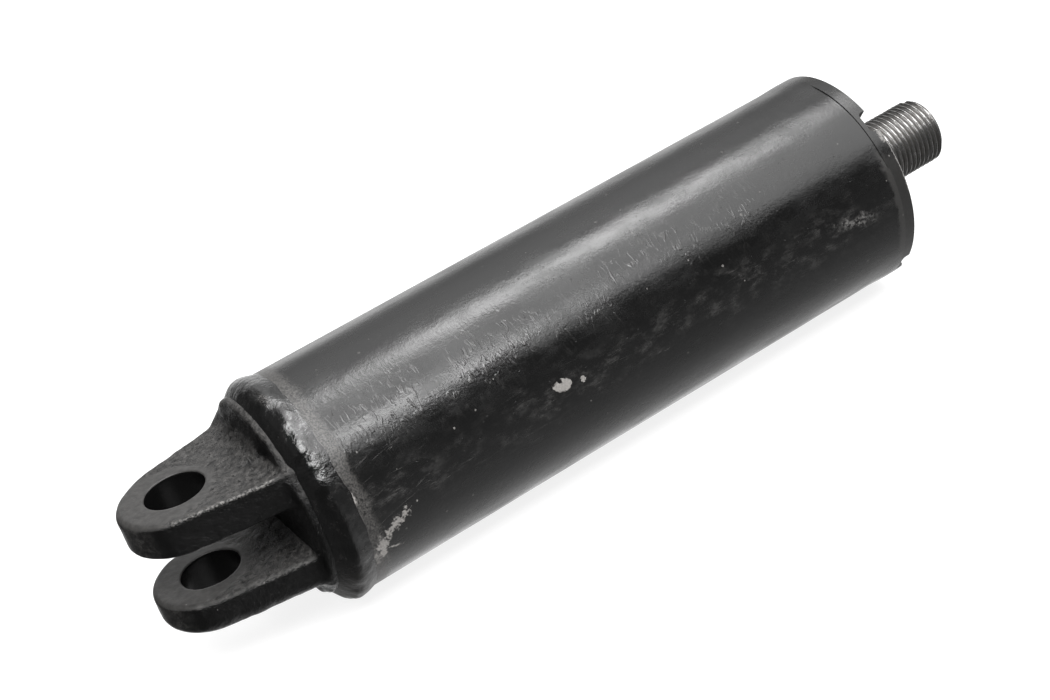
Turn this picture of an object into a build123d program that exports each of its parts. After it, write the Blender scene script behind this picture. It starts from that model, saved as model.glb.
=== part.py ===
from build123d import *
import math
import os

# Two-stage, single-acting telescopic hydraulic cylinder, shown fully retracted.
#
# Frame: the origin is the centre of the clevis pin hole, midway between the two ears.
# +X runs along the cylinder towards the threaded rod end, +Z is the axis of the clevis pin.
# All sizes are in millimetres. Threads are plain cylinders at the thread's outside diameter.

os.makedirs("parts", exist_ok=True)

# ---------------------------------------------------------------- driving dimensions

# Fits
RUNNING = 0.08              # radial clearance of a sliding fit between two stages
LOOSE = 0.4                 # radial clearance where two stages pass without guiding
SEATED = 0.02               # radial clearance of a seal, ring or thread in its own seat
THREAD_RELIEF = 0.5         # axial clearance between a screwed shoulder and its seat

# Barrel
BARREL_OUTER_R = 38.0
BARREL_BORE_R = 32.0
BARREL_START = 35.0         # end of the tube that stands on the clevis base
WELD_BEVEL_END = 39.5       # the tube's weld bevel runs from BARREL_START to here
BARREL_END = 252.5          # end of the tube under the gland's flange
GLAND_THREAD_R = 34.0
GLAND_THREAD_START = 233.0

# Clevis base
PIN_HOLE_R = 9.75
EAR_TIP_R = 19.3
EAR_SLOPE = math.atan(0.23)                 # the ears widen towards the barrel
EAR_ROOT = 27.9                             # the ears' block ends inside the shoulder
EAR_OUTER_Z = 21.06
EAR_GAP_HALF = 9.0
GAP_ROOT = 26.9
FLARE_START = 8.0           # where the sweep into the shoulder begins
FLARE_START_R = 18.5
FLARE_RISE = 0.15
FLARE_END_R = 31.0
SHOULDER_FACE = 27.0
SHOULDER_R = 33.0
SPIGOT_R = BARREL_BORE_R - SEATED
SPIGOT_END = 52.0
SPIGOT_CHAMFER = 2.0
SHOULDER_CHAMFER = 1.0
SPIGOT_OVERLAP = 1.0        # depth by which the spigot starts inside the shoulder
UPPER_EDGE_R = 1.0
LOWER_EDGE_R = 5.0
GAP_EDGE_R = 2.2

# Welds
BEAD_START = 28.0           # where the bead meets the shoulder, at SHOULDER_R
BEAD_CROWN = (35.0, 38.85)  # (x, radius) of the highest point
BEAD_SIDE = ((31.4, 37.2), (29.4, 35.3))    # the rounded side towards the clevis

# Oil port, on the far side of the barrel
PORT_X = 68.0
PORT_BOSS_R = 14.0
PORT_BOSS_TOP = 50.0        # distance of the boss's face from the barrel's axis
PORT_BOSS_CHAMFER = 1.0
PORT_THREAD_R = 8.33        # G 3/8
PORT_THREAD_DEPTH = 11.0
PORT_DRILL_R = 4.0
PORT_WELD_TOP = 41.0        # the fillet weld runs from here down to the barrel
PORT_WELD_SPREAD = 4.8
PORT_WELD_DROP = 8.0

# Gland that closes the barrel
GLAND_INNER_END = 216.5
FLANGE_R = 38.3
FLANGE_END = 257.6
FLANGE_CHAMFER = 0.6
SPANNER_SLOTS = 4
SPANNER_SLOT_ANGLE = 133.5  # first slot, measured from +Y towards +Z
SPANNER_SLOT_W = 8.2
SPANNER_SLOT_DEPTH = 3.4
SPANNER_SLOT_CORNER = 1.6

# Intermediate sleeve
SLEEVE_OUTER_R = 27.0
SLEEVE_BORE_R = 22.5
SLEEVE_START = 60.0
SLEEVE_END = 256.5
SLEEVE_END_CHAMFER = 1.0
SLEEVE_THREAD_R = 24.0
SLEEVE_THREAD_START = 238.0
SLEEVE_GUIDE_START = 52.5
SLEEVE_GUIDE_END = 72.0
SLEEVE_GUIDE_R = BARREL_BORE_R - LOOSE
SLEEVE_GUIDE_CHAMFER = 1.5
SLEEVE_FLOOR = 58.0         # inner face of the guide's floor, where the rod lands
SLEEVE_FLOOR_HOLE_R = 9.0
SLEEVE_GLAND_START = 219.5
SLEEVE_GLAND_END = 256.0

# Rod
ROD_R = 16.0
ROD_SHOULDER = 258.0
ROD_TENON_R = 12.0
ROD_TENON_START = 58.3
ROD_BODY_START = 76.0
ROD_GUIDE_R = SLEEVE_BORE_R - LOOSE
ROD_THREAD_R = 11.9
ROD_THREAD_END = 296.0
ROD_THREAD_CHAMFER = 1.5
ROD_SHOULDER_CHAMFER = 0.8

# Seals and rings, as (axial start, axial length) in their own stage
GLAND_WEAR_RING = (218.5, 7.0)
GLAND_ROD_SEAL = (234.5, 7.0)
GLAND_WIPER = (249.0, 5.0)
GLAND_O_RING = (226.8, 4.0)
GLAND_BACKUP_RING = (230.8, 1.4)
O_RING_SECTION = 3.0
O_RING_SEAT_DEPTH = 2.4
WEAR_RING_T = 2.5
SEAL_T = 5.0
WIPER_T = 4.0
SEAL_LIP_SHARE = 1 / 6      # bevel of a seal's lips, as a share of its thickness
SEAL_GROOVE_SHARE = 0.5     # depth of the groove between the lips, as a share of the length
WIPER_BODY_SHARE = 0.6      # length of the wiper's body, as a share of the whole length
WIPER_BODY_LIFT = 0.3       # clearance under the body, as a share of the thickness
WIPER_LIP_ROOT = 0.5        # lip thickness where it leaves the body, as a share
WIPER_LIP_TIP = 0.25        # lip thickness at its tip, as a share

SLEEVE_WEAR_RING = (57.0, 9.7)
SLEEVE_STOP_RING = (72.0, 4.5)
SLEEVE_STOP_RING_R = 30.4
SLEEVE_GLAND_WEAR_RING = (224.5, 8.0)
SLEEVE_ROD_SEAL = (236.0, 5.5)
SLEEVE_WIPER = (248.0, 4.0)
SLEEVE_GLAND_O_RING = (227.5, 3.2)
SLEEVE_O_RING_SECTION = 2.4
SLEEVE_O_RING_SEAT_DEPTH = 2.0
SLEEVE_WEAR_RING_T = 2.0
SLEEVE_SEAL_T = 3.6
SLEEVE_WIPER_T = 3.0
SLEEVE_PIN_HOLES = 2
SLEEVE_PIN_HOLE_R = 1.3
SLEEVE_PIN_HOLE_PITCH_R = 21.9
SLEEVE_PIN_HOLE_DEPTH = 5.0

ROD_WEAR_RING = (64.0, 8.0)
ROD_STOP_RING = (76.0, 3.5)
ROD_STOP_RING_R = 20.4
ROD_RETAINING_RING = (60.0, 1.8)
ROD_RETAINING_RING_R = 14.5
RETAINING_RING_GAP = 6.0
STOP_GROOVE_DEPTH = 1.5

FLOW_HOLES = 6
FLOW_HOLE_R = 1.8

NEAR = 0.01                 # tolerance for picking edges by their level


# ---------------------------------------------------------------- shared profiles

def lathe_profile(points):
    """Closed outline of (x, radius) points, ready to be revolved about the X axis."""
    with BuildSketch(Plane.XY) as sketch:
        with BuildLine():
            Polyline(*points, close=True)
        make_face()
    return sketch.sketch


def ring_profile(place, inner_r, outer_r):
    """Rectangular section of a ring; place is its (axial start, axial length)."""
    start, length = place
    end = start + length
    return lathe_profile([(start, inner_r), (end, inner_r), (end, outer_r), (start, outer_r)])


def o_ring_profile(place, groove_r, bore_r, section):
    """Round section of an O-ring, squeezed to the depth of its groove."""
    start, length = place
    with BuildSketch(Plane.XY) as sketch:
        with Locations((start + length / 2, (groove_r + bore_r) / 2)):
            Ellipse(section / 2, (bore_r - groove_r) / 2 - SEATED)
    return sketch.sketch


def lip_seal_profile(place, inner_r, outer_r):
    """U-cup section: a groove opens towards the oil, on the side of lower X."""
    start, length = place
    end = start + length
    middle = (inner_r + outer_r) / 2
    lip = (outer_r - inner_r) * SEAL_LIP_SHARE
    return lathe_profile([
        (start + lip, inner_r),
        (end, inner_r),
        (end, outer_r),
        (start + lip, outer_r),
        (start, outer_r - lip),
        (start + SEAL_GROOVE_SHARE * length, middle),
        (start, inner_r + lip),
    ])


def wiper_profile(place, inner_r, outer_r):
    """Wiper section: a body in the groove and a lip that points away from the oil."""
    start, length = place
    end = start + length
    body_end = start + WIPER_BODY_SHARE * length
    depth = outer_r - inner_r
    return lathe_profile([
        (start, inner_r + WIPER_BODY_LIFT * depth),
        (start, outer_r),
        (body_end, outer_r),
        (body_end, inner_r + WIPER_LIP_ROOT * depth),
        (end, inner_r + WIPER_LIP_TIP * depth),
        (end, inner_r),
    ])


def write(part, name):
    part.part.label = name
    export_step(part.part, "parts/" + name + ".step")


# ---------------------------------------------------------------- barrel

with BuildPart() as barrel_tube:
    revolve(lathe_profile([
        (BARREL_START, BARREL_BORE_R),
        (GLAND_THREAD_START, BARREL_BORE_R),
        (GLAND_THREAD_START, GLAND_THREAD_R),
        (BARREL_END, GLAND_THREAD_R),
        (BARREL_END, BARREL_OUTER_R),
        (WELD_BEVEL_END, BARREL_OUTER_R),
        (BARREL_START, SHOULDER_R),
    ]), axis=Axis.X)
    # Oil passage under the port boss
    with BuildSketch(Plane.XZ) as port_passage:
        with Locations((PORT_X, 0)):
            Circle(PORT_DRILL_R)
    extrude(amount=-BARREL_OUTER_R, mode=Mode.SUBTRACT)
write(barrel_tube, "barrel_tube")

# ---------------------------------------------------------------- clevis base

tip_end = (-EAR_TIP_R * math.sin(EAR_SLOPE), EAR_TIP_R * math.cos(EAR_SLOPE))
root_half_width = tip_end[1] + (EAR_ROOT - tip_end[0]) * math.tan(EAR_SLOPE)

with BuildPart() as clevis_base:
    # Both ears as one block, seen along the pin
    with BuildSketch(Plane.XY.offset(-EAR_OUTER_Z)) as ear_outline:
        with BuildLine():
            ThreePointArc((tip_end[0], -tip_end[1]), (-EAR_TIP_R, 0), tip_end)
            Line(tip_end, (EAR_ROOT, root_half_width))
            Line((EAR_ROOT, root_half_width), (EAR_ROOT, -root_half_width))
            Line((EAR_ROOT, -root_half_width), (tip_end[0], -tip_end[1]))
        make_face()
    extrude(amount=2 * EAR_OUTER_Z)
    # Rounded forging edges: nearly sharp on the machined upper face, full on the lower one
    for level, edge_r in ((EAR_OUTER_Z, UPPER_EDGE_R), (-EAR_OUTER_Z, LOWER_EDGE_R)):
        face_edges = clevis_base.edges().filter_by_position(Axis.Z, level - NEAR, level + NEAR)
        fillet(face_edges.sort_by(Axis.X)[:3], edge_r)
    # Gap between the ears, with rounded edges
    with BuildSketch(Plane.XZ.offset(-SHOULDER_R)) as gap:
        with Locations(((EAR_ROOT - EAR_TIP_R) / 2, 0)):
            Rectangle(EAR_ROOT + EAR_TIP_R, 2 * EAR_GAP_HALF)
    extrude(amount=2 * SHOULDER_R, mode=Mode.SUBTRACT)
    for level in (EAR_GAP_HALF, -EAR_GAP_HALF):
        face_edges = clevis_base.edges().filter_by_position(Axis.Z, level - NEAR, level + NEAR)
        fillet(face_edges.sort_by(Axis.X)[:3], GAP_EDGE_R)
    # Sweep from the ears out into the round shoulder
    with BuildSketch(Plane.XY) as shoulder_profile:
        with BuildLine():
            TangentArc(
                (FLARE_START, FLARE_START_R), (SHOULDER_FACE, FLARE_END_R), tangent=(1, FLARE_RISE))
            Polyline(
                (SHOULDER_FACE, FLARE_END_R), (SHOULDER_FACE + SHOULDER_CHAMFER, SHOULDER_R),
                (BARREL_START, SHOULDER_R), (BARREL_START, 0), (FLARE_START, 0),
                (FLARE_START, FLARE_START_R))
        make_face()
    revolve(axis=Axis.X)
    with BuildSketch(Plane.XZ.offset(-SHOULDER_R)) as gap_through_sweep:
        with Locations(((GAP_ROOT - EAR_TIP_R) / 2, 0)):
            Rectangle(GAP_ROOT + EAR_TIP_R, 2 * EAR_GAP_HALF)
    extrude(amount=2 * SHOULDER_R, mode=Mode.SUBTRACT)
    # Spigot that centres the barrel tube
    revolve(lathe_profile([
        (BARREL_START - SPIGOT_OVERLAP, 0),
        (SPIGOT_END, 0),
        (SPIGOT_END, SPIGOT_R - SPIGOT_CHAMFER),
        (SPIGOT_END - SPIGOT_CHAMFER, SPIGOT_R),
        (BARREL_START - SPIGOT_OVERLAP, SPIGOT_R),
    ]), axis=Axis.X)
    # Pin hole through both ears
    with BuildSketch(Plane.XY.offset(-SHOULDER_R)) as pin_hole:
        Circle(PIN_HOLE_R)
    extrude(amount=2 * SHOULDER_R, mode=Mode.SUBTRACT)
write(clevis_base, "clevis_base")

# ---------------------------------------------------------------- welds

with BuildPart() as base_weld_bead:
    with BuildSketch(Plane.XY) as bead_section:
        with BuildLine():
            Line((BEAD_START, SHOULDER_R), (BARREL_START, SHOULDER_R))
            Line((BARREL_START, SHOULDER_R), (WELD_BEVEL_END, BARREL_OUTER_R))
            Spline(
                (WELD_BEVEL_END, BARREL_OUTER_R), BEAD_CROWN, *BEAD_SIDE,
                (BEAD_START, SHOULDER_R))
        make_face()
    revolve(axis=Axis.X)
write(base_weld_bead, "base_weld_bead")

with BuildPart() as port_weld_bead:
    # Fillet weld round the foot of the boss, cut to the barrel's curve
    revolve(lathe_profile([
        (PORT_X + PORT_BOSS_R, PORT_WELD_TOP),
        (PORT_X + PORT_BOSS_R, PORT_WELD_TOP - PORT_WELD_DROP),
        (PORT_X + PORT_BOSS_R + PORT_WELD_SPREAD, PORT_WELD_TOP - PORT_WELD_DROP),
    ]), axis=Axis((PORT_X, 0, 0), (0, 1, 0)))
    Cylinder(BARREL_OUTER_R, 2 * BARREL_END, rotation=(0, 90, 0), mode=Mode.SUBTRACT)
write(port_weld_bead, "port_weld_bead")

# ---------------------------------------------------------------- port boss

with BuildPart() as port_boss:
    with BuildSketch(Plane.XZ.offset(-PORT_BOSS_TOP)) as boss_face:
        with Locations((PORT_X, 0)):
            Circle(PORT_BOSS_R)
    extrude(amount=PORT_BOSS_TOP)
    Cylinder(BARREL_OUTER_R, 2 * BARREL_END, rotation=(0, 90, 0), mode=Mode.SUBTRACT)
    chamfer(port_boss.edges().group_by(Axis.Y)[-1], PORT_BOSS_CHAMFER)
    with BuildSketch(Plane.XZ.offset(-PORT_BOSS_TOP)) as thread_hole:
        with Locations((PORT_X, 0)):
            Circle(PORT_THREAD_R)
    extrude(amount=PORT_THREAD_DEPTH, mode=Mode.SUBTRACT)
    with BuildSketch(Plane.XZ.offset(-PORT_BOSS_TOP)) as oil_drilling:
        with Locations((PORT_X, 0)):
            Circle(PORT_DRILL_R)
    extrude(amount=PORT_BOSS_TOP, mode=Mode.SUBTRACT)
write(port_boss, "port_boss")

# ---------------------------------------------------------------- barrel gland

GLAND_BODY_R = BARREL_BORE_R - SEATED
SLEEVE_TOUCH_R = SLEEVE_OUTER_R + RUNNING
O_RING_SEAT_R = GLAND_BODY_R - O_RING_SEAT_DEPTH
SLOT_FLOOR = FLANGE_END - SPANNER_SLOT_DEPTH

with BuildPart() as gland_nut:
    revolve(lathe_profile([
        (GLAND_INNER_END, SLEEVE_OUTER_R + LOOSE),
        (FLANGE_END, SLEEVE_OUTER_R + LOOSE),
        (FLANGE_END, FLANGE_R - FLANGE_CHAMFER),
        (FLANGE_END - FLANGE_CHAMFER, FLANGE_R),
        (BARREL_END, FLANGE_R),
        (BARREL_END, GLAND_THREAD_R - SEATED),
        (GLAND_THREAD_START + THREAD_RELIEF, GLAND_THREAD_R - SEATED),
        (GLAND_THREAD_START + THREAD_RELIEF, GLAND_BODY_R),
        (GLAND_INNER_END, GLAND_BODY_R),
    ]), axis=Axis.X)
    # Outer groove for the O-ring and its backup ring
    revolve(ring_profile((GLAND_O_RING[0], GLAND_O_RING[1] + GLAND_BACKUP_RING[1]),
                         O_RING_SEAT_R, BARREL_BORE_R + 1), axis=Axis.X, mode=Mode.SUBTRACT)
    # Grooves in the bore for the parts that touch the sleeve
    for place, thickness in ((GLAND_WEAR_RING, WEAR_RING_T), (GLAND_ROD_SEAL, SEAL_T),
                             (GLAND_WIPER, WIPER_T)):
        revolve(ring_profile(place, SLEEVE_OUTER_R, SLEEVE_OUTER_R + thickness + SEATED),
                axis=Axis.X, mode=Mode.SUBTRACT)
    # Slots for the spanner that tightens the gland
    with BuildSketch(Plane.YZ.offset(FLANGE_END)) as slots:
        with PolarLocations(FLANGE_R, SPANNER_SLOTS, start_angle=SPANNER_SLOT_ANGLE):
            Rectangle(2 * (FLANGE_R - SLEEVE_OUTER_R), SPANNER_SLOT_W)
    extrude(amount=-SPANNER_SLOT_DEPTH, mode=Mode.SUBTRACT)
    slot_corners = gland_nut.edges().filter_by(GeomType.LINE).filter_by_position(
        Axis.X, SLOT_FLOOR - NEAR, SLOT_FLOOR + NEAR)
    fillet(slot_corners, SPANNER_SLOT_CORNER)
write(gland_nut, "gland_nut")

with BuildPart() as gland_o_ring:
    revolve(o_ring_profile(GLAND_O_RING, O_RING_SEAT_R, BARREL_BORE_R, O_RING_SECTION),
            axis=Axis.X)
write(gland_o_ring, "gland_o_ring")

with BuildPart() as gland_backup_ring:
    revolve(ring_profile(GLAND_BACKUP_RING, O_RING_SEAT_R + SEATED, BARREL_BORE_R - SEATED),
            axis=Axis.X)
write(gland_backup_ring, "gland_backup_ring")

with BuildPart() as gland_wear_ring:
    revolve(ring_profile(GLAND_WEAR_RING, SLEEVE_TOUCH_R, SLEEVE_OUTER_R + WEAR_RING_T),
            axis=Axis.X)
write(gland_wear_ring, "gland_wear_ring")

with BuildPart() as gland_rod_seal:
    revolve(lip_seal_profile(GLAND_ROD_SEAL, SLEEVE_TOUCH_R, SLEEVE_OUTER_R + SEAL_T),
            axis=Axis.X)
write(gland_rod_seal, "gland_rod_seal")

with BuildPart() as gland_wiper:
    revolve(wiper_profile(GLAND_WIPER, SLEEVE_TOUCH_R, SLEEVE_OUTER_R + WIPER_T), axis=Axis.X)
write(gland_wiper, "gland_wiper")

# ---------------------------------------------------------------- intermediate sleeve

stop_ring_end = SLEEVE_STOP_RING[0] + SLEEVE_STOP_RING[1]
FLOW_HOLE_X = stop_ring_end + 3 * FLOW_HOLE_R

with BuildPart() as sleeve_tube:
    revolve(lathe_profile([
        (SLEEVE_START, SLEEVE_BORE_R),
        (SLEEVE_THREAD_START, SLEEVE_BORE_R),
        (SLEEVE_THREAD_START, SLEEVE_THREAD_R),
        (SLEEVE_END, SLEEVE_THREAD_R),
        (SLEEVE_END, SLEEVE_OUTER_R - SLEEVE_END_CHAMFER),
        (SLEEVE_END - SLEEVE_END_CHAMFER, SLEEVE_OUTER_R),
        (stop_ring_end, SLEEVE_OUTER_R),
        (stop_ring_end, SLEEVE_OUTER_R - STOP_GROOVE_DEPTH),
        (SLEEVE_STOP_RING[0], SLEEVE_OUTER_R - STOP_GROOVE_DEPTH),
        (SLEEVE_STOP_RING[0], SLEEVE_OUTER_R),
        (SLEEVE_START, SLEEVE_OUTER_R),
    ]), axis=Axis.X)
    # Radial holes that let oil into the space between the sleeve and the barrel
    for turn in range(FLOW_HOLES):
        with BuildSketch(Plane.XY.rotated((turn * 360 / FLOW_HOLES, 0, 0))) as flow_hole:
            with Locations((FLOW_HOLE_X, 0)):
                Circle(FLOW_HOLE_R)
        extrude(amount=SLEEVE_OUTER_R + 1, mode=Mode.SUBTRACT)
write(sleeve_tube, "sleeve_tube")

with BuildPart() as sleeve_guide:
    revolve(lathe_profile([
        (SLEEVE_GUIDE_START, SLEEVE_FLOOR_HOLE_R),
        (SLEEVE_FLOOR, SLEEVE_FLOOR_HOLE_R),
        (SLEEVE_FLOOR, SLEEVE_BORE_R),
        (SLEEVE_START, SLEEVE_BORE_R),
        (SLEEVE_START, SLEEVE_OUTER_R + SEATED),
        (SLEEVE_GUIDE_END, SLEEVE_OUTER_R + SEATED),
        (SLEEVE_GUIDE_END, SLEEVE_GUIDE_R),
        (SLEEVE_GUIDE_START + SLEEVE_GUIDE_CHAMFER, SLEEVE_GUIDE_R),
        (SLEEVE_GUIDE_START, SLEEVE_GUIDE_R - SLEEVE_GUIDE_CHAMFER),
    ]), axis=Axis.X)
    revolve(ring_profile(SLEEVE_WEAR_RING, BARREL_BORE_R - WEAR_RING_T - SEATED, BARREL_BORE_R),
            axis=Axis.X, mode=Mode.SUBTRACT)
write(sleeve_guide, "sleeve_guide")

with BuildPart() as sleeve_wear_ring:
    revolve(ring_profile(SLEEVE_WEAR_RING, BARREL_BORE_R - WEAR_RING_T, BARREL_BORE_R - RUNNING),
            axis=Axis.X)
write(sleeve_wear_ring, "sleeve_wear_ring")

with BuildPart() as sleeve_stop_ring:
    revolve(ring_profile(SLEEVE_STOP_RING, SLEEVE_OUTER_R - STOP_GROOVE_DEPTH + SEATED,
                         SLEEVE_STOP_RING_R), axis=Axis.X)
write(sleeve_stop_ring, "sleeve_stop_ring")

# ---------------------------------------------------------------- sleeve gland

SLEEVE_GLAND_BODY_R = SLEEVE_BORE_R - SEATED
ROD_TOUCH_R = ROD_R + RUNNING
SLEEVE_O_RING_SEAT_R = SLEEVE_GLAND_BODY_R - SLEEVE_O_RING_SEAT_DEPTH

with BuildPart() as sleeve_gland:
    revolve(lathe_profile([
        (SLEEVE_GLAND_START, ROD_R + LOOSE),
        (SLEEVE_GLAND_END, ROD_R + LOOSE),
        (SLEEVE_GLAND_END, SLEEVE_THREAD_R - SEATED),
        (SLEEVE_THREAD_START + THREAD_RELIEF, SLEEVE_THREAD_R - SEATED),
        (SLEEVE_THREAD_START + THREAD_RELIEF, SLEEVE_GLAND_BODY_R),
        (SLEEVE_GLAND_START, SLEEVE_GLAND_BODY_R),
    ]), axis=Axis.X)
    revolve(ring_profile(SLEEVE_GLAND_O_RING, SLEEVE_O_RING_SEAT_R, SLEEVE_BORE_R + 1),
            axis=Axis.X, mode=Mode.SUBTRACT)
    for place, thickness in ((SLEEVE_GLAND_WEAR_RING, SLEEVE_WEAR_RING_T),
                             (SLEEVE_ROD_SEAL, SLEEVE_SEAL_T), (SLEEVE_WIPER, SLEEVE_WIPER_T)):
        revolve(ring_profile(place, ROD_R, ROD_R + thickness + SEATED),
                axis=Axis.X, mode=Mode.SUBTRACT)
    # Blind holes for the pin spanner
    with BuildSketch(Plane.YZ.offset(SLEEVE_GLAND_END)) as pin_holes:
        with PolarLocations(SLEEVE_PIN_HOLE_PITCH_R, SLEEVE_PIN_HOLES):
            Circle(SLEEVE_PIN_HOLE_R)
    extrude(amount=-SLEEVE_PIN_HOLE_DEPTH, mode=Mode.SUBTRACT)
write(sleeve_gland, "sleeve_gland")

with BuildPart() as sleeve_gland_o_ring:
    revolve(o_ring_profile(SLEEVE_GLAND_O_RING, SLEEVE_O_RING_SEAT_R, SLEEVE_BORE_R,
                           SLEEVE_O_RING_SECTION), axis=Axis.X)
write(sleeve_gland_o_ring, "sleeve_gland_o_ring")

with BuildPart() as sleeve_gland_wear_ring:
    revolve(ring_profile(SLEEVE_GLAND_WEAR_RING, ROD_TOUCH_R, ROD_R + SLEEVE_WEAR_RING_T),
            axis=Axis.X)
write(sleeve_gland_wear_ring, "sleeve_gland_wear_ring")

with BuildPart() as sleeve_rod_seal:
    revolve(lip_seal_profile(SLEEVE_ROD_SEAL, ROD_TOUCH_R, ROD_R + SLEEVE_SEAL_T), axis=Axis.X)
write(sleeve_rod_seal, "sleeve_rod_seal")

with BuildPart() as sleeve_wiper:
    revolve(wiper_profile(SLEEVE_WIPER, ROD_TOUCH_R, ROD_R + SLEEVE_WIPER_T), axis=Axis.X)
write(sleeve_wiper, "sleeve_wiper")

# ---------------------------------------------------------------- rod

rod_stop_end = ROD_STOP_RING[0] + ROD_STOP_RING[1]
retaining_end = ROD_RETAINING_RING[0] + ROD_RETAINING_RING[1]
RETAINING_SEAT_R = ROD_TENON_R - STOP_GROOVE_DEPTH

with BuildPart() as rod:
    revolve(lathe_profile([
        (ROD_TENON_START, 0),
        (ROD_THREAD_END, 0),
        (ROD_THREAD_END, ROD_THREAD_R - ROD_THREAD_CHAMFER),
        (ROD_THREAD_END - ROD_THREAD_CHAMFER, ROD_THREAD_R),
        (ROD_SHOULDER, ROD_THREAD_R),
        (ROD_SHOULDER, ROD_R - ROD_SHOULDER_CHAMFER),
        (ROD_SHOULDER - ROD_SHOULDER_CHAMFER, ROD_R),
        (rod_stop_end, ROD_R),
        (rod_stop_end, ROD_R - STOP_GROOVE_DEPTH),
        (ROD_BODY_START, ROD_R - STOP_GROOVE_DEPTH),
        (ROD_BODY_START, ROD_TENON_R),
        (retaining_end, ROD_TENON_R),
        (retaining_end, RETAINING_SEAT_R),
        (ROD_RETAINING_RING[0], RETAINING_SEAT_R),
        (ROD_RETAINING_RING[0], ROD_TENON_R),
        (ROD_TENON_START, ROD_TENON_R),
    ]), axis=Axis.X)
write(rod, "rod")

with BuildPart() as rod_guide:
    revolve(ring_profile((retaining_end, ROD_BODY_START - retaining_end),
                         ROD_TENON_R + SEATED, ROD_GUIDE_R), axis=Axis.X)
    revolve(ring_profile(ROD_WEAR_RING, SLEEVE_BORE_R - SLEEVE_WEAR_RING_T - SEATED, SLEEVE_BORE_R),
            axis=Axis.X, mode=Mode.SUBTRACT)
    # Axial holes that let oil past the guide
    with BuildSketch(Plane.YZ.offset(ROD_BODY_START)) as flow_holes:
        with PolarLocations(ROD_R + FLOW_HOLE_R / 2, FLOW_HOLES):
            Circle(FLOW_HOLE_R)
    extrude(amount=retaining_end - ROD_BODY_START, mode=Mode.SUBTRACT)
write(rod_guide, "rod_guide")

with BuildPart() as rod_wear_ring:
    revolve(ring_profile(ROD_WEAR_RING, SLEEVE_BORE_R - SLEEVE_WEAR_RING_T,
                         SLEEVE_BORE_R - RUNNING), axis=Axis.X)
write(rod_wear_ring, "rod_wear_ring")

with BuildPart() as rod_stop_ring:
    revolve(ring_profile(ROD_STOP_RING, ROD_R - STOP_GROOVE_DEPTH + SEATED, ROD_STOP_RING_R),
            axis=Axis.X)
write(rod_stop_ring, "rod_stop_ring")

with BuildPart() as rod_retaining_ring:
    revolve(ring_profile(ROD_RETAINING_RING, RETAINING_SEAT_R + SEATED, ROD_RETAINING_RING_R),
            axis=Axis.X)
    # The gap that lets the ring spring open
    with BuildSketch(Plane.YZ.offset(ROD_RETAINING_RING[0])) as ring_gap:
        with Locations((0, ROD_TENON_R)):
            Rectangle(RETAINING_RING_GAP, 2 * STOP_GROOVE_DEPTH + ROD_TENON_R / 2)
    extrude(amount=ROD_RETAINING_RING[1], mode=Mode.SUBTRACT)
write(rod_retaining_ring, "rod_retaining_ring")
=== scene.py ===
import bpy
import math
import numpy as np
from mathutils import Matrix, Vector


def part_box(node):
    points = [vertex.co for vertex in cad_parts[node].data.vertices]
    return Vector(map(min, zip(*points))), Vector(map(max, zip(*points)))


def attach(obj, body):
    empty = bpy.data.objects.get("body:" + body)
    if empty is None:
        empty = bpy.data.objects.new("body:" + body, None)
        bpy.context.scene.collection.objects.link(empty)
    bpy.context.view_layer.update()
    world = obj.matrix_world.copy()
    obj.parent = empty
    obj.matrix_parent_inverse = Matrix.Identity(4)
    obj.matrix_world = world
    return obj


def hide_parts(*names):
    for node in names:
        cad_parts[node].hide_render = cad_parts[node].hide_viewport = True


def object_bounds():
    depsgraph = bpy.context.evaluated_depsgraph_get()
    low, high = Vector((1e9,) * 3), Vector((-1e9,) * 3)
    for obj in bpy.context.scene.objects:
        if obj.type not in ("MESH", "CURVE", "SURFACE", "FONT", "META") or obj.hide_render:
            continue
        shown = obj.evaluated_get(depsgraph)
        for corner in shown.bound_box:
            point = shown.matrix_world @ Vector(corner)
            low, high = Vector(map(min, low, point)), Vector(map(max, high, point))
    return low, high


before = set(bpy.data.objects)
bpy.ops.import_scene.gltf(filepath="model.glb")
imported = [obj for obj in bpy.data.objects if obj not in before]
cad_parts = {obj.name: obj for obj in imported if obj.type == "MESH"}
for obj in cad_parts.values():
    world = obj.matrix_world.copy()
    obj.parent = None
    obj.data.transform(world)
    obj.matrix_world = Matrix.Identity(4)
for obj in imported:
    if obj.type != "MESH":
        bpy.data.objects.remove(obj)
CAD_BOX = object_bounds()
MM = 0.001
TURN = 2 * math.pi
random_numbers = np.random.default_rng(7)


# -------------------- sizes, in millimetres

def box_mm(node):
    low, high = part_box(node)
    return low / MM, high / MM


TUBE_LOW, TUBE_HIGH = box_mm("barrel_tube")
CLEVIS_LOW, CLEVIS_HIGH = box_mm("clevis_base")
GLAND_HIGH = box_mm("gland_nut")[1]
ROD_LOW, ROD_HIGH = box_mm("rod")
ROD_GUIDE_HIGH = box_mm("rod_guide")[1]
STOP_LOW, STOP_HIGH = box_mm("rod_stop_ring")
SNAP_LOW, SNAP_HIGH = box_mm("rod_retaining_ring")
BOSS_LOW, BOSS_HIGH = box_mm("port_boss")
PORT_WELD_LOW, PORT_WELD_HIGH = box_mm("port_weld_bead")

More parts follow.
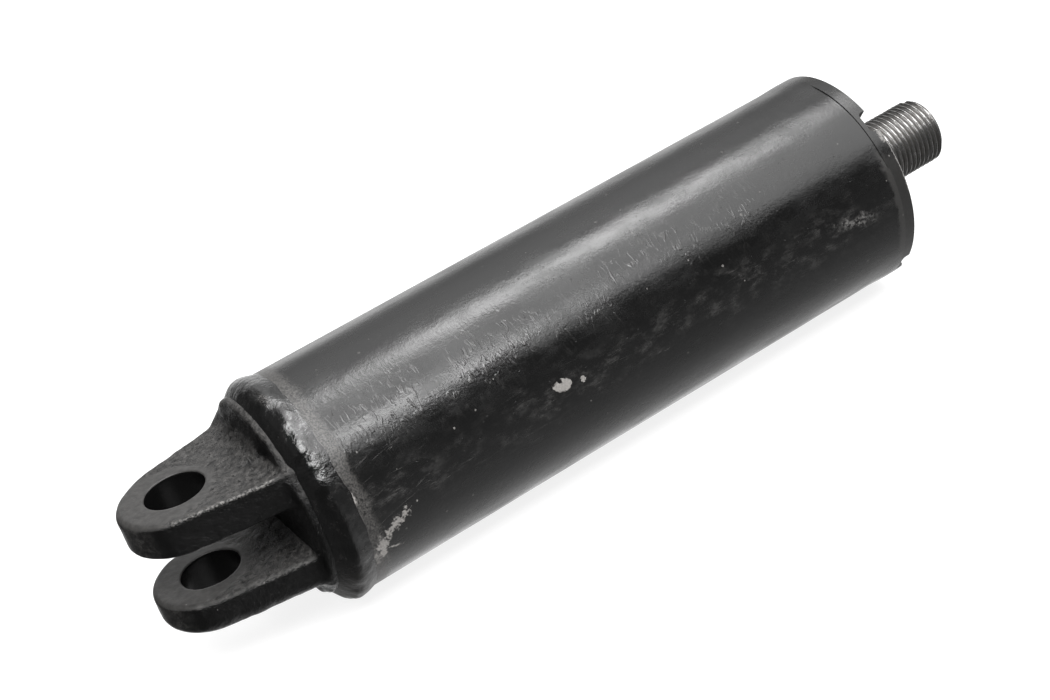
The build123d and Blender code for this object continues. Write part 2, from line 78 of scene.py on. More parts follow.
BARREL_R = TUBE_HIGH.z
BORE_R = 32.0
GLAND_THREAD_R = 34.0
GLAND_THREAD_START = 233.0
BEVEL_R = 33.0                      # radius of the tube's welded end
JOINT_FILL = 0.6                    # how far the paint fills the joint with the gland
JOINT_OPEN = (1.62, 1.78, 2.60, 2.80)       # it stays open between these turns about X
WELD_TOE = box_mm("base_weld_bead")[1].x    # the bead ends here on the tube
EAR_Z = 21.06                       # outer faces of the two ears
EAR_GAP = 9.0                       # half of the gap between them
EAR_SLOPE = math.atan(0.23)         # of the ears' sides to the X axis
EAR_TIP_R = -CLEVIS_LOW.x
EAR_ROUND = 5.0                     # rounding of the ears' edges
PIN_HOLE_R = 9.75
PIN_HOLE_ROUND = 0.55
GAP_ROOT = 26.9
GAP_ROUND = 1.8
SHOULDER_X = (26.8, 31.4)           # start and end of the forging's round shoulder
SHOULDER_R = 33.4
SHOULDER_ROUND = 2.1
SHOULDER_RISE = 2.1                 # the shoulder is higher at this turn about X
RISE_TURN = 1.1
SWEEP_FRONT = 3.4                   # fillet from ear to shoulder; the next three add to it
SWEEP_ABOVE, SWEEP_BEHIND, SWEEP_BELOW = 7.6, 3.4, 4.2
SPIGOT_X, SPIGOT_R = 33.0, 31.98
ROD_R = ROD_HIGH.z
ROD_SHOULDER = GLAND_HIGH.x + 0.4
THREAD_R = 11.9
THREAD_PITCH, THREAD_DEPTH = 2.0, 1.23
PORT_X = (BOSS_LOW.x + BOSS_HIGH.x) / 2
BOSS_R = (BOSS_HIGH.x - BOSS_LOW.x) / 2
BOSS_TOP = BOSS_HIGH.y
PORT_THREAD_R = 8.33
PORT_PITCH, PORT_DEPTH = 1.337, 0.85
OIL_HOLE_R = 4.0
FLOOR_GAP = 0.6                     # the floor lies this far under the object


# -------------------- node helpers

class Nodes:
    """Short calls for the nodes of a material or of the world."""

    def __init__(self, tree):
        self.nodes = tree.nodes
        self.links = tree.links

    def feed(self, socket, value):
        if isinstance(value, bpy.types.NodeSocket):
            self.links.new(value, socket)
        else:
            socket.default_value = value

    def math(self, operation, a, b=0.0):
        node = self.nodes.new("ShaderNodeMath")
        node.operation = operation
        self.feed(node.inputs[0], a)
        self.feed(node.inputs[1], b)
        return node.outputs[0]

    def add(self, *values):
        total = values[0]
        for value in values[1:]:
            total = self.math("ADD", total, value)
        return total

    def times(self, *values):
        total = values[0]
        for value in values[1:]:
            total = self.math("MULTIPLY", total, value)
        return total

    def most(self, *values):
        total = values[0]
        for value in values[1:]:
            total = self.math("MAXIMUM", total, value)
        return total

    def vector(self, operation, a, b):
        node = self.nodes.new("ShaderNodeVectorMath")
        node.operation = operation
        self.feed(node.inputs[0], a)
        self.feed(node.inputs[1], b)
        return node.outputs[0]

    def join(self, x, y):
        """The vector (x, y, 0)."""
        node = self.nodes.new("ShaderNodeCombineXYZ")
        self.feed(node.inputs[0], x)
        self.feed(node.inputs[1], y)
        return node.outputs[0]

    def split(self, vector):
        """The X, Y and Z parts of a vector."""
        node = self.nodes.new("ShaderNodeSeparateXYZ")
        self.links.new(vector, node.inputs[0])
        return node.outputs[0:3]

    def length(self, a, b):
        """Length of the vector (a, b)."""
        return self.math("SQRT", self.math("ADD", self.times(a, a), self.times(b, b)))

    def centred(self, value):
        """A value from 0 to 1, moved to lie about zero."""
        return self.math("SUBTRACT", value, 0.5)

    def swing(self, value, size):
        """A value from 0 to 1, as a swing of the given size about zero."""
        return self.times(self.centred(value), size)

    def step(self, value, low, high, start=0.0, end=1.0):
        """Goes smoothly from start to end as value goes from low to high."""
        node = self.nodes.new("ShaderNodeMapRange")
        node.interpolation_type = "SMOOTHSTEP"
        for socket, entry in zip(node.inputs, (value, low, high, start, end)):
            self.feed(socket, entry)
        return node.outputs[0]

    def band(self, value, low, high, soft):
        """1 between low and high, with soft ends."""
        rise = self.step(value, low - soft, low + soft)
        return self.times(rise, self.step(value, high - soft, high + soft, 1.0, 0.0))

    def mix(self, share, a, b):
        """Colour that goes from a to b as share goes from 0 to 1."""
        node = self.nodes.new("ShaderNodeMix")
        node.data_type = "RGBA"
        self.feed(node.inputs[0], share)
        self.feed(node.inputs[6], a)
        self.feed(node.inputs[7], b)
        return node.outputs[2]

    def blend(self, share, a, b):
        """Number that goes from a to b as share goes from 0 to 1."""
        node = self.nodes.new("ShaderNodeMix")
        self.feed(node.inputs[0], share)
        self.feed(node.inputs[2], a)
        self.feed(node.inputs[3], b)
        return node.outputs[0]


# -------------------- camera, light and floor

def aim(obj, right, up, back, place):
    """Turns an object so that its axes are right, up and back, and puts it at place."""
    turn = Matrix((right, up, back)).transposed()
    obj.matrix_world = Matrix.Translation(place) @ turn.to_4x4()


def make_camera():
    data = bpy.data.cameras.new("camera")
    data.lens = 66.83
    data.sensor_width = 36.0
    camera = bpy.data.objects.new("camera", data)
    bpy.context.scene.collection.objects.link(camera)
    # solved from the photograph's perspective of the barrel
    back = Vector((-0.34114, -0.81713, 0.46468)).normalized()
    up = Vector((0.46897, 0.28047, 0.83750))
    place = Vector((-0.09416, -0.52003, 0.29818))
    right = up.cross(back).normalized()
    aim(camera, right, back.cross(right), back, place)
    bpy.context.scene.camera = camera


def direction(x_part, turn):
    """Unit vector with the given X part, turned about X from +Y towards +Z, in degrees."""
    side = math.sqrt(1 - x_part * x_part)
    angle = math.radians(turn)
    return Vector((x_part, side * math.cos(angle), side * math.sin(angle)))


def make_softbox(name, back, distance, width, height, radiance):
    """Rectangular lamp that faces the middle of the barrel; width runs along the cylinder."""
    data = bpy.data.lights.new(name, "AREA")
    data.shape = "RECTANGLE"
    data.size = width
    data.size_y = height
    data.energy = radiance * math.pi * width * height
    lamp = bpy.data.objects.new(name, data)
    bpy.context.scene.collection.objects.link(lamp)
    middle = Vector((0.14, 0, 0))
    up = back.cross(Vector((1, 0, 0))).normalized()
    aim(lamp, up.cross(back), up, back, middle + back * distance)


def make_world():
    """Pale studio whose brightness depends on the angle about the X axis, in degrees."""
    world = bpy.data.worlds.new("studio")
    bpy.context.scene.world = world
    world.use_nodes = True
    world.node_tree.nodes.clear()
    w = Nodes(world.node_tree)
    x, y, z = w.split(w.nodes.new("ShaderNodeTexCoord").outputs["Generated"])
    turns = w.math("DIVIDE", w.math("ARCTAN2", z, y), TURN)
    ramp = w.nodes.new("ShaderNodeValToRGB")
    w.links.new(w.math("FRACT", turns), ramp.inputs[0])
    levels = ramp.color_ramp.elements
    stops = [(0, 0.78), (10, 0.55), (20, 0.25), (30, 0.38), (40, 0.55), (50, 0.76), (70, 1.0),
             (120, 0.7), (138, 0.5), (152, 0.02), (214, 0.012), (225, 0.52), (230, 0.66),
             (250, 0.60), (260, 0.47), (275, 0.30), (290, 0.19), (300, 0.14), (310, 0.20),
             (318, 0.27), (330, 0.52), (342, 0.62)]
    for number, (degrees, level) in enumerate(stops):
        stop = levels[0] if number == 0 else levels.new(0.5)
        stop.position = degrees / 360
        stop.color = (level, level, level, 1)
    levels.remove(levels[-1])
    # dark beyond the base, bright along the barrel, a little dimmer past the gland
    ahead = w.step(x, -0.4, 0.2, 0.15, 2.0)
    past = w.step(x, 0.42, 0.58, 1.0, 0.62)
    shade = w.nodes.new("ShaderNodeBackground")
    w.links.new(w.times(ahead, past), shade.inputs["Strength"])
    w.links.new(ramp.outputs[0], shade.inputs["Color"])
    w.links.new(shade.outputs[0], w.nodes.new("ShaderNodeOutputWorld").inputs[0])


def make_floor():
    mesh = bpy.data.meshes.new("floor")
    reach = 200.0
    level = CAD_BOX[0].z - FLOOR_GAP * MM
    corners = [(-reach, -reach, level), (reach, -reach, level), (reach, reach, level),
               (-reach, reach, level)]
    mesh.from_pydata(corners, [], [(0, 1, 2, 3)])
    floor = bpy.data.objects.new("floor", mesh)
    bpy.context.scene.collection.objects.link(floor)
    material = bpy.data.materials.new("floor")
    material.use_nodes = True
    shader = material.node_tree.nodes["Principled BSDF"]
    shader.inputs["Base Color"].default_value = (0.25, 0.25, 0.25, 1)
    shader.inputs["Roughness"].default_value = 0.9
    shader.inputs["Emission Color"].default_value = (1, 1, 1, 1)
    shader.inputs["Emission Strength"].default_value = 0.85
    mesh.materials.append(material)
    floor.visible_glossy = False


make_camera()
make_world()
make_floor()
make_softbox("key", direction(0.38, 84), distance=1.5, width=0.50, height=0.42, radiance=8.5)
make_softbox("overhead", direction(0.30, 108), distance=1.6, width=2.2, height=1.9, radiance=2.2)
make_softbox("corner", direction(0.17, 131), distance=1.5, width=0.36, height=0.27, radiance=15.0)
make_softbox("base", direction(-0.32, 118), distance=1.5, width=0.95, height=1.0, radiance=8.5)
bpy.context.scene.view_settings.view_transform = "Standard"


# -------------------- mesh helpers

def smoothstep(value, low, high):
    share = np.clip((value - low) / (high - low), 0, 1)
    return share * share * (3 - 2 * share)


CELLS = 32                          # the noise repeats after this many lumps
LATTICE = random_numbers.random((CELLS, CELLS, CELLS)).astype(np.float32) * 2 - 1


def lumps(x, y, z, length, shift=0.0):
    """Smooth noise from -1 to 1 whose lumps are about length millimetres apart."""
    cells, shares = [], []
    for value in (x, y, z):
        scaled = value / length + shift
        whole = np.floor(scaled)
        cells.append(whole.astype(np.int32))
        part = scaled - whole
        shares.append(part * part * (3 - 2 * part))
    total = 0
    for dx in (0, 1):
        for dy in (0, 1):
            for dz in (0, 1):
                weight = (shares[0] if dx else 1 - shares[0])
                weight = weight * (shares[1] if dy else 1 - shares[1])
                weight = weight * (shares[2] if dz else 1 - shares[2])
                corner = LATTICE[(cells[0] + dx) % CELLS, (cells[1] + dy) % CELLS,
                                 (cells[2] + dz) % CELLS]
                total = total + weight * corner
    return total


def ring_lumps(x, radius, turn, length, shift=0.0):
    """The noise read on a ring about the X axis, so that it doesn't follow the surface."""
    flat = 0 * x + 0 * turn
    return lumps(x + flat, radius * np.cos(turn) + flat, radius * np.sin(turn) + flat, length,
                 shift)


def hump(turn, middle, width):
    """Bell curve that is 1 in its middle."""
    return np.exp(-((turn - middle) / width) ** 2)


def make_piece(name, points, faces, material, body, replaces, sharp=38):
    """Smooth-shaded object from points in millimetres; edges bent more than sharp stay crisp."""
    mesh = bpy.data.meshes.new(name)
    if not isinstance(faces, list):
        faces = faces.tolist()
    mesh.from_pydata((points * MM).tolist(), [], faces)
    mesh.validate()
    mesh.shade_smooth()
    mesh.set_sharp_from_angle(angle=math.radians(sharp))
    mesh.materials.append(material)
    obj = bpy.data.objects.new(name, mesh)
    bpy.context.scene.collection.objects.link(obj)
    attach(obj, body)
    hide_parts(*replaces)
    return obj


def ring_faces(rows, columns, closed):
    """Quads between neighbouring rows of a grid that goes round; closed joins last and first."""
    row = np.arange(rows if closed else rows - 1)[:, None]
    column = np.arange(columns)[None, :]
    next_row = (row + 1) % rows
    next_column = (column + 1) % columns
    quads = np.stack([row * columns + column, next_row * columns + column,
                      next_row * columns + next_column, row * columns + next_column], axis=-1)
    return quads.reshape(-1, 4)


def along(*stretches):
    """Outline of (x, radius) points. A stretch is a point, or (start, end, step) between points."""
    outline = []
    for stretch in stretches:
        if len(stretch) == 2:
            outline.append(stretch)
            continue
        start, end, step = stretch
        count = max(1, round(math.dist(start, end) / step))
        for number in range(count + 1):
            share = number / count
            outline.append((start[0] + (end[0] - start[0]) * share,
                            start[1] + (end[1] - start[1]) * share))
    return np.array(outline)


def angles(columns):
    return np.arange(columns) * TURN / columns


def about_x(x, radius, angle):
    return np.stack([x, radius * np.cos(angle), radius * np.sin(angle)], axis=-1).reshape(-1, 3)


# -------------------- surface of a solid from its distance field

def corner_values(field, i, j, k, offset):
    return field[i + offset[0], j + offset[1], k + offset[2]]


def solid_surface(distance, low, high, step):
    """Points and quads of the surface where distance(x, y, z) is zero, in a box."""
    axes = [np.arange(low[n], high[n] + step, step, dtype=np.float32) for n in range(3)]
    x, y, z = np.meshgrid(*axes, indexing="ij", sparse=True)
    shape = tuple(len(a) for a in axes)
    field = np.empty(shape, dtype=np.float32)
    slab = 16
    for start in range(0, shape[0], slab):
        field[start:start + slab] = distance(x[start:start + slab], y, z)
    inside = field < 0
    offsets = [(a, b, c) for a in (0, 1) for b in (0, 1) for c in (0, 1)]
    size = tuple(n - 1 for n in shape)
    count = np.zeros(size, dtype=np.int8)
    for a, b, c in offsets:
        count += inside[a:a + size[0], b:b + size[1], c:c + size[2]]
    i, j, k = np.nonzero((count > 0) & (count < 8))
    number = np.full(size, -1, dtype=np.int64)
    number[i, j, k] = np.arange(len(i))
    total = np.zeros((len(i), 3), dtype=np.float64)
    crossings = np.zeros(len(i))
    for first in range(8):
        for second in range(first + 1, 8):
            gap = np.subtract(offsets[second], offsets[first])
            if np.abs(gap).sum() != 1:
                continue
            a = corner_values(field, i, j, k, offsets[first])
            b = corner_values(field, i, j, k, offsets[second])
            crosses = (a < 0) != (b < 0)
            share = np.where(crosses, a / np.where(crosses, a - b, 1), 0)
            place = np.array(offsets[first])[None, :] + share[:, None] * gap[None, :]
            total += np.where(crosses[:, None], place, 0)
            crossings += crosses
    points = np.array(low) + step * (np.stack([i, j, k], axis=1) + total / crossings[:, None])
    quads = []
    for axis in range(3):
        one, two = (axis + 1) % 3, (axis + 2) % 3
        here = [slice(1, n - 1) for n in shape]
        there = list(here)
        there[axis] = slice(2, shape[axis])
        start, end = inside[tuple(here)], inside[tuple(there)]
        for entering in (True, False):
            crossing = np.nonzero((start != end) & (start == entering))
            base = [c + 1 for c in crossing]
            ring = []
            for back_one, back_two in ((1, 1), (0, 1), (0, 0), (1, 0)):
                cell = list(base)
                cell[one] = base[one] - back_one
                cell[two] = base[two] - back_two
                ring.append(number[tuple(cell)])
            quads.append(np.stack(ring if entering else ring[::-1], axis=1))
    for _ in range(4):
        points = settle(distance, points)
    return points, np.concatenate(quads)


def settle(distance, points):
    """Moves the points along the field's slope towards its zero surface."""
    reach, eagerness, least_slope = 0.12, 0.8, 0.5
    x, y, z = points.T
    value = distance(x, y, z)
    slope = np.stack([distance(x + reach, y, z) - distance(x - reach, y, z),
                      distance(x, y + reach, z) - distance(x, y - reach, z),
                      distance(x, y, z + reach) - distance(x, y, z - reach)], axis=1) / (2 * reach)
    steep = np.maximum((slope * slope).sum(axis=1), least_slope ** 2)
    return points - eagerness * slope * (value / steep)[:, None]


def meet(a, b, radius):
    """Distance to where two solids overlap, with their common edge rounded."""
    a = a + radius
    b = b + radius
    outside = np.sqrt(np.maximum(a, 0) ** 2 + np.maximum(b, 0) ** 2)
    return np.minimum(np.maximum(a, b), 0) + outside - radius


def blend(a, b, reach):
    """Distance to two solids together, with a fillet of the given reach between them."""
    share = np.clip(0.5 + 0.5 * (b - a) / reach, 0, 1)
    return b + (a - b) * share - reach * share * (1 - share)


# -------------------- shader helpers

class Shader(Nodes):
    """A material, with the place on the object as x, y and z. Lengths are in millimetres."""

    def __init__(self, name):
        self.material = bpy.data.materials.new(name)
        self.material.use_nodes = True
        super().__init__(self.material.node_tree)
        self.shader = self.nodes["Principled BSDF"]
        place = self.nodes.new("ShaderNodeTexCoord").outputs["Object"]
        self.place = self.vector("MULTIPLY", place, (1 / MM, 1 / MM, 1 / MM))
        self.x, self.y, self.z = self.split(self.place)

    def noise(self, length, detail=3.0, rough=0.55, place=None, distortion=0.0):
        """Noise from 0 to 1 whose lumps are about length millimetres apart."""
        node = self.nodes.new("ShaderNodeTexNoise")
        self.feed(node.inputs["Vector"], self.place if place is None else place)
        node.inputs["Scale"].default_value = 1 / length
        node.inputs["Detail"].default_value = detail
        node.inputs["Roughness"].default_value = rough
        node.inputs["Distortion"].default_value = distortion
        return node.outputs["Fac"]

    def specks(self, length, size, share):
        """Scattered round specks: one to a cell of the given length, and only a share of them."""
        node = self.nodes.new("ShaderNodeTexVoronoi")
        self.feed(node.inputs["Vector"], self.place)
        node.inputs["Scale"].default_value = 1 / length
        apart = self.nodes.new("ShaderNodeSeparateColor")
        self.links.new(node.outputs["Color"], apart.inputs[0])
        near = self.math("MULTIPLY", node.outputs["Distance"], length)
        radius = self.times(size, self.add(apart.outputs[1], 0.3))
        dot = self.step(self.math("SUBTRACT", near, radius), 0.1 * size, -0.25 * size)
        return self.times(dot, self.math("LESS_THAN", apart.outputs[0], share))

    def bump(self, height):
        """Bump from a height in millimetres."""
        node = self.nodes.new("ShaderNodeBump")
        node.inputs["Strength"].default_value = 1.0
        node.inputs["Distance"].default_value = MM
        self.feed(node.inputs["Height"], height)
        return node.outputs[0]

    def worn_edge(self, soft):
        """1 on edges that stand out: the mesh's pointiness is 0.5 where it is flat."""
        flat = 0.5
        node = self.nodes.new("ShaderNodeNewGeometry")
        return self.step(node.outputs["Pointiness"], flat, flat + soft)

    def out(self, color, roughness, metallic=0.0, normal=None, specular=None):
        self.feed(self.shader.inputs["Base Color"], color)
        self.feed(self.shader.inputs["Roughness"], roughness)
        self.feed(self.shader.inputs["Metallic"], metallic)
        if normal is not None:
            self.feed(self.shader.inputs["Normal"], normal)
        if specular is not None:
            self.shader.inputs["Specular IOR Level"].default_value = specular
        return self.material


def grey(level, warm=0.0):
    return (level * (1 + warm), level, level * (1 - warm), 1)


class BarrelShader(Shader):
    """Shader with the place on the unrolled barrel: x along it, arc round it from the front."""

    def __init__(self, name):
        super().__init__(name)
        front = self.math("ARCTAN2", self.math("MULTIPLY", self.z, -1.0),
                          self.math("MULTIPLY", self.y, -1.0))
        self.arc = self.math("MULTIPLY", front, BARREL_R)

    def unrolled(self, along_length, round_length):
        """Place on the unrolled barrel whose noise is stretched along and round it."""
        return self.join(self.math("DIVIDE", self.x, along_length),
                         self.math("DIVIDE", self.arc, round_length))

    def chip(self, mark, ragged):
        """Grows from 0 in the middle of a mark, past 1 at its edge, which ragged displaces."""
        x, turn, length, width, tilt = mark
        dx = self.math("SUBTRACT", self.x, x)
        dy = self.math("SUBTRACT", self.arc, math.radians(turn - 180) * BARREL_R)
        cos, sin = math.cos(math.radians(tilt)), math.sin(math.radians(tilt))
        u = self.math("ADD", self.times(dx, cos / length), self.times(dy, sin / length))
        v = self.math("SUBTRACT", self.times(dy, cos / width), self.times(dx, sin / width))
        return self.math("SUBTRACT", self.length(u, v), self.times(ragged, 2.0))


BLACK = grey(0.0035)
SPECK = grey(0.16, 0.04)
BARE_METAL = grey(0.22, 0.05)
RUB_MARK = grey(0.13, 0.03)

# marks on the barrel: x, turn about X and then length, width and tilt out of the axis
CHIP = (115.5, 170.5, 3.5, 2.2, 10)
CHIP_BESIDE = (122.4, 173.0, 1.2, 0.9, 60)
HOLE_IN_CHIP = (114.9, 168.0, 1.1, 0.7, 50)
SCRAPE = (43.3, 198.5, 5.8, 2.6, -66)
SCRAPE_ABOVE = (50.0, 189.0, 6.6, 2.0, -28)
SCRAPE_TAIL = (46.5, 201.0, 3.4, 0.5, 20)
CHIP_AT_TOE = (40.0, 165.5, 0.8, 3.6, -8)
GLAND_SMEAR = (234, 175.0, 9.5, 2.6, 12)
WELD_RUB = (34.0, 104, 2.2, 4.2, 0)
GLAND_CHIP = (256.4, 143.0, 1.2, 2.6, 0)


def black_paint():
    s = BarrelShader("barrel_paint")
    ragged = s.centred(s.noise(1.5, 4.0, 0.68))
    coarse = s.centred(s.noise(4.5, 4.0, 0.65))
    grain = s.noise(0.5, 3.0, 0.65)

    # paint knocked off down to grey primer and steel
    chips = s.step(s.math("MINIMUM", s.chip(CHIP, s.times(ragged, 0.45)),
                          s.chip(CHIP_BESIDE, s.times(ragged, 1.5))), 1.0, 0.85)
    chips = s.times(chips, s.step(s.chip(HOLE_IN_CHIP, s.times(ragged, 0.8)), 0.8, 1.0))
    scrape = s.math("MINIMUM", s.chip(SCRAPE, s.times(ragged, 2.1)),
                    s.chip(SCRAPE_ABOVE, s.times(ragged, 2.2)))
    scrape = s.math("MINIMUM", scrape, s.chip(SCRAPE_TAIL, s.times(ragged, 1.6)))
    scrape = s.step(scrape, 0.95, 0.35)
    toe = s.step(s.chip(CHIP_AT_TOE, s.times(ragged, 1.2)), 0.95, 0.5)
    dots = s.specks(5.0, 0.40, 0.6)
    front = s.band(s.arc, -24.0, 4.0, 8.0)
    dots = s.times(dots, s.blend(front, 0.2, 0.8))
    bare = s.most(chips, scrape, toe, s.times(dots, 0.7))

    # scratches along the front and near the base
    axial = s.noise(1.0, 4.0, 0.65, s.unrolled(12.0, 0.9), 1.1)
    slant = s.join(s.add(s.times(s.x, 0.065), s.times(s.arc, -0.025)),
                   s.add(s.times(s.arc, 0.95), s.times(s.x, 0.22)))
    slant_lines = s.noise(1.0, 4.0, 0.6, slant, 1.2)
    base_zone = s.times(s.band(s.x, 39.0, 66.0, 7.0), s.band(s.arc, -16.0, 8.0, 6.0))
    dull_zone = s.times(s.band(s.arc, -11.0, 3.0, 6.0), s.band(s.x, 44.0, 246.0, 12.0))
    clusters = s.step(s.noise(19.0, 3.0, 0.6), 0.38, 0.60, 0.1, 1.0)
    scratches = s.most(s.times(s.step(slant_lines, 0.62, 0.73), base_zone, 0.6),
                       s.times(s.step(axial, 0.60, 0.76), dull_zone, clusters, 0.5))

    # dusty rub marks along the front
    cloud = s.noise(1.0, 7.0, 0.75, s.unrolled(8.0, 4.5))
    smudge = s.times(s.step(cloud, 0.46, 0.74), dull_zone, clusters)
    gland_smear = s.times(s.step(s.chip(GLAND_SMEAR, s.times(coarse, 1.3)), 1.15, 0.1),
                          s.step(s.noise(1.3, 4.0, 0.7), 0.40, 0.66))
    handled = s.times(s.step(s.add(s.x, s.times(coarse, 6.0)), 249.8, 251.6),
                      s.band(s.arc, -20.0, 20.0, 4.0))
    spatter_zone = s.step(s.add(s.x, s.times(coarse, 5.0)), WELD_TOE + 6.0, WELD_TOE + 3.0)

    # wrinkles in the paint: thin curved lines round the barrel, in clusters, lightened in colour as
    # a painted glint
    curl = s.add(s.x, s.swing(s.noise(9.0, 2.0), 4.0))
    lines = s.noise(1.0, 1.0, 0.5, s.join(s.times(curl, 0.56), s.times(s.arc, 0.095)), 0.25)
    lines = s.step(s.math("ABSOLUTE", s.centred(lines)), 0.060, 0.0)
    short = s.step(s.noise(3.0, 1.0), 0.43, 0.57)
    around = s.times(s.band(s.arc, -37.0, -17.0, 7.0), s.band(s.x, 30.0, 200.0, 22.0))
    glinting_wrinkle = s.times(lines, short, around, s.step(s.noise(15.0, 2.0), 0.36, 0.52, 0.15, 1.0))

    # between the marks: deep black with thin grey dust, and painted sheen as a speckled grey film
    # on the lower front
    dust = s.step(s.noise(6.0, 7.0, 0.75), 0.45, 0.85)
    # painted sheen: speckled grey on the lower front
    lower_sheen = s.times(s.step(s.arc, 10.0, 22.0), s.step(s.noise(0.9, 4.0, 0.75), 0.40, 0.75))
    color = s.mix(s.times(dust, 0.5), grey(0.0030), grey(0.0055, 0.03))
    color = s.mix(s.times(lower_sheen, 0.5), color, grey(0.030, 0.03))
    color = s.mix(s.times(smudge, 0.55), color, grey(0.070, 0.03))
    color = s.mix(s.times(gland_smear, 0.70), color, grey(0.17, 0.03))
    color = s.mix(s.times(spatter_zone, s.step(grain, 0.34, 0.66), 0.60), color, grey(0.10, 0.05))
    # painted glint: the wrinkle lines lighter in colour
    color = s.mix(s.times(glinting_wrinkle, 0.14), color, grey(0.12, 0.03))
    color = s.mix(s.times(handled, 0.7), color, grey(0.028, 0.04))
    color = s.mix(s.times(scratches, s.step(grain, 0.3, 0.6, 0.4, 1.0)), color, RUB_MARK)
    color = s.mix(s.times(bare, s.step(grain, 0.25, 0.65, 0.55, 1.0)), color, BARE_METAL)

    blotches = s.noise(1.0, 4.0, 0.6, s.unrolled(24.0, 9.0))
    rough = s.step(blotches, 0.34, 0.66, 0.15, 0.31)
    rough = s.add(rough, s.swing(grain, 0.16))
    rough = s.blend(s.most(smudge, s.times(spatter_zone, 0.8), gland_smear, handled), rough, 0.42)
    rough = s.blend(s.most(bare, scratches), rough, 0.55)

    wavy = s.swing(s.noise(24.0, 2.0), 0.17)
    dimples = s.swing(s.noise(5.0, 3.0, 0.6), 0.075)
    peel = s.swing(s.noise(1.2, 3.0, 0.6), 0.046)
    fine = s.swing(grain, 0.030)
    draw_lines = s.swing(s.noise(1.0, 3.0, 0.6, s.unrolled(60.0, 1.2)), 0.012)
    rough_toe = s.times(s.centred(s.noise(0.8, 3.0)), spatter_zone, 0.07)
    marks = s.add(s.times(glinting_wrinkle, 0.075), s.times(bare, -0.05), s.times(scratches, -0.03))
    pits = s.times(s.specks(2.6, 0.30, 0.45), -0.06)
    normal = s.bump(s.add(wavy, dimples, peel, fine, draw_lines, rough_toe, marks, pits))
    return s.out(color, rough, normal=normal)


def forging_paint():
    s = BarrelShader("forging_paint")
    # the spot round the pin hole is ground flat, and the rest is as forged
    reach = s.length(s.x, s.y)
    uneven = s.swing(s.noise(3.0, 3.0), 4.0)
    ground = s.step(s.add(reach, s.times(s.x, 0.30), uneven), 16.5, 14.5)
    grain = s.noise(0.6, 3.0, 0.65)
    coarse = s.noise(1.9, 5.0, 0.68)
    pits = s.times(s.specks(1.9, 0.50, 0.45), s.math("SUBTRACT", 1.0, ground))
    pits = s.times(pits, s.step(s.noise(7.0, 2.0), 0.40, 0.58))
    # dust lies on the faces that look up; their lighter colour also stands for painted light from
    # above
    up = s.split(s.nodes.new("ShaderNodeNewGeometry").outputs["Normal"])[2]
    top = s.step(up, 0.25, 0.75)
    tip = s.step(s.x, -12.0, -18.0, 0.0, 0.45)
    # rubbed bare on the near edges of the ears; their light grey is also a painted highlight along
    # those edges
    near_side = s.times(s.step(s.y, -14.0, -16.5), s.band(s.x, -9.0, 24.0, 1.5))
    upper_edge = s.times(s.step(s.z, EAR_Z - 1.6, EAR_Z - 0.9), 0.8)
    lower_edge = s.times(s.band(s.z, -EAR_GAP - 1.3, -EAR_GAP - 0.3, 0.3), s.step(s.x, 3.0, 9.0))
    rubbed = s.times(s.worn_edge(0.07), near_side, s.most(upper_edge, lower_edge))
    rubbed = s.times(rubbed, s.step(s.noise(0.8, 3.0, 0.75), 0.46, 0.58))
    # dust and painted light from above: faces that look up, and the ear tips, lighter in colour
    dust = s.times(s.step(coarse, 0.30, 0.72), s.most(top, tip))
    color = s.mix(dust, BLACK, grey(0.052, 0.04))
    color = s.mix(s.times(ground, top, 0.6), color, grey(0.034, 0.03))
    # painted shade: the pits darker in colour, besides their bump
    color = s.mix(s.times(pits, 0.9), color, grey(0.003))
    # edge wear and painted highlight: light grey along the near edges of the ears
    color = s.mix(rubbed, color, grey(0.34, 0.04))
    nicks = s.times(s.specks(3.4, 0.24, 0.22), 0.8)
    color = s.mix(nicks, color, SPECK)
    rough = s.blend(ground, s.step(coarse, 0.3, 0.7, 0.32, 0.50), 0.38)
    rough = s.blend(top, 0.22, rough)
    rough = s.add(rough, s.swing(grain, 0.16))
    rough = s.blend(s.most(rubbed, nicks), rough, 0.38)
    cast = s.times(s.add(s.swing(coarse, 0.80), s.swing(grain, 0.12)), s.blend(ground, 1.0, 0.12))
    fine = s.swing(s.noise(0.35, 2.0), 0.02)
    normal = s.bump(s.add(cast, fine, s.times(pits, -0.40), s.times(nicks, -0.03)))
    return s.out(color, rough, normal=normal, specular=0.28)


def weld_paint():
    s = BarrelShader("weld_paint")
    patches = s.noise(4.0, 4.0, 0.62)
    grain = s.noise(0.6, 3.0, 0.65)
    # glossy where the paint ran, duller and lighter grey towards the bottom
    low = s.step(s.math("MULTIPLY", s.z, -1.0), 6.0, 26.0)
    dull = s.most(s.times(s.step(patches, 0.54, 0.70), 0.35), s.times(low, 0.9))
    color = s.mix(dull, BLACK, grey(0.013, 0.05))
    color = s.mix(s.times(s.specks(2.6, 0.30, 0.22), 0.4), color, grey(0.12, 0.05))
    rubbed = s.step(s.chip(WELD_RUB, s.centred(patches)), 1.0, 0.3)
    color = s.mix(s.times(rubbed, s.step(grain, 0.45, 0.68), 0.5), color, grey(0.15, 0.05))
    rough = s.blend(dull, s.step(patches, 0.3, 0.7, 0.13, 0.24), 0.42)
    rough = s.add(rough, s.swing(grain, 0.10))
    height = s.add(s.swing(s.noise(2.4, 4.0, 0.58), 0.32), s.swing(grain, 0.02))
    return s.out(color, rough, normal=s.bump(height), specular=0.8)


